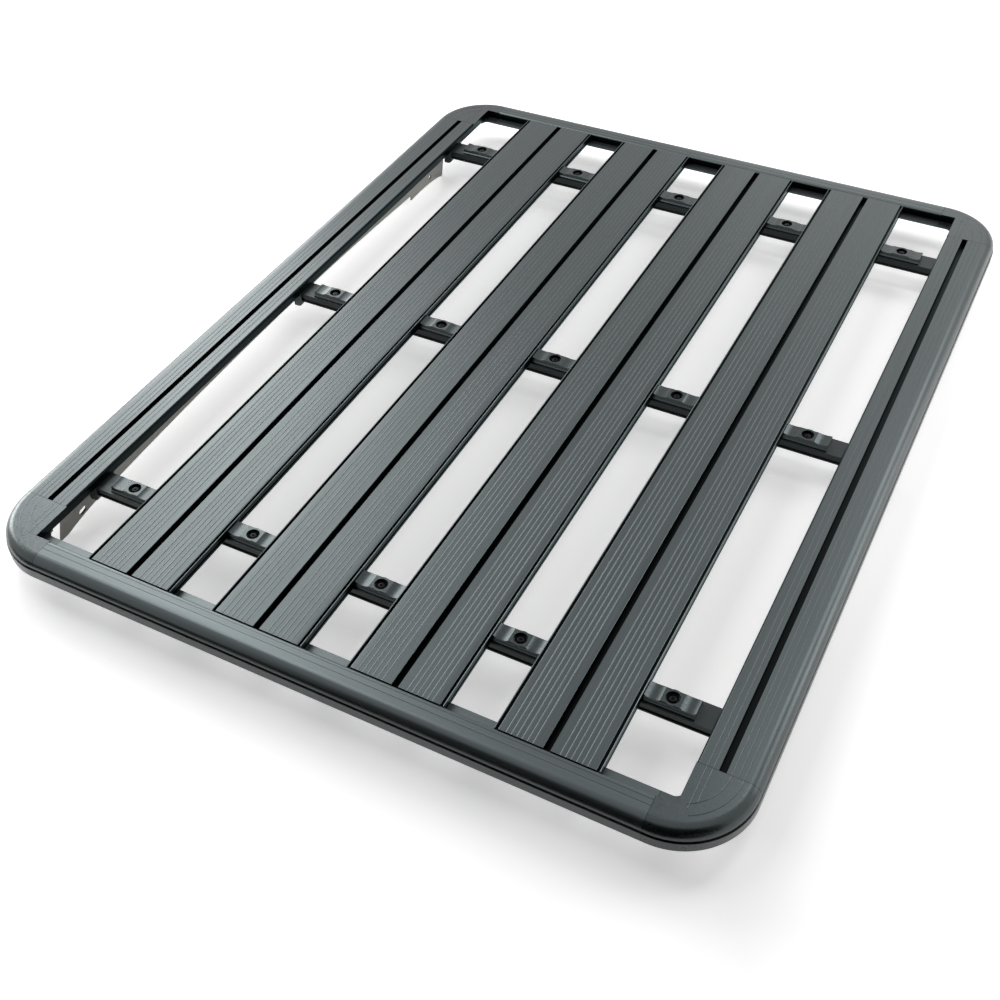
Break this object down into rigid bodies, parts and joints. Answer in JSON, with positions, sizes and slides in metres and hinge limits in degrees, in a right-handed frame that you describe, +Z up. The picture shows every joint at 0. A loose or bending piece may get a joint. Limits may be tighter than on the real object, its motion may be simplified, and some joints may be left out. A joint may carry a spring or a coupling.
{
  "type": "flat platform roof rack",
  "caption": "Flat roof rack platform of slotted aluminium planks in a rounded rail frame, on crossbars with arched mounting rails.",
  "frame": {"origin": "centre of the footprint on the floor under the mounting rails' ears", "axes": "+X across the rack to its right-hand side, +Y along it to its rear end, +Z up"},
  "size_m": [1.426, 1.828, 0.0895],
  "materials": {
    "powder_coated_rail_extrusion": "satin",
    "powder_coated_plank_extrusion": "satin",
    "powder_coated_die_casting": "satin",
    "moulded_black_polymer": "matte",
    "powder_coated_crossbar_extrusion": "satin",
    "glass_filled_nylon": "satin",
    "powder_coated_steel_plate": "satin"
  },
  "bodies": {
    "root": {"side_rail_left": "powder_coated_rail_extrusion", "side_rail_right": "powder_coated_rail_extrusion", "end_rail_front": "powder_coated_rail_extrusion", "end_rail_rear": "powder_coated_rail_extrusion", "corner_front_left": "powder_coated_die_casting", "corner_front_right": "powder_coated_die_casting", "corner_rear_left": "powder_coated_die_casting", "corner_rear_right": "powder_coated_die_casting", "plank_1": "powder_coated_plank_extrusion", "plank_2": "powder_coated_plank_extrusion", "plank_3": "powder_coated_plank_extrusion", "plank_4": "powder_coated_plank_extrusion", "crossbar_front": "powder_coated_crossbar_extrusion", "crossbar_middle": "powder_coated_crossbar_extrusion", "crossbar_rear": "powder_coated_crossbar_extrusion", "clamp_block_front_1": "glass_filled_nylon", "clamp_block_front_2": "glass_filled_nylon", "clamp_block_front_3": "glass_filled_nylon", "clamp_block_front_4": "glass_filled_nylon", "clamp_block_front_5": "glass_filled_nylon", "clamp_block_middle_1": "glass_filled_nylon", "clamp_block_middle_2": "glass_filled_nylon", "clamp_block_middle_3": "glass_filled_nylon", "clamp_block_middle_4": "glass_filled_nylon", "clamp_block_middle_5": "glass_filled_nylon", "clamp_block_rear_1": "glass_filled_nylon", "clamp_block_rear_2": "glass_filled_nylon", "clamp_block_rear_3": "glass_filled_nylon", "clamp_block_rear_4": "glass_filled_nylon", "clamp_block_rear_5": "glass_filled_nylon", "crossbar_foot_front_left": "moulded_black_polymer", "crossbar_foot_front_right": "moulded_black_polymer", "crossbar_foot_middle_left": "moulded_black_polymer", "crossbar_foot_middle_right": "moulded_black_polymer", "crossbar_foot_rear_left": "moulded_black_polymer", "crossbar_foot_rear_right": "moulded_black_polymer", "mounting_rail_left": "powder_coated_steel_plate", "mounting_rail_right": "powder_coated_steel_plate"}
  },
  "joints": []
}
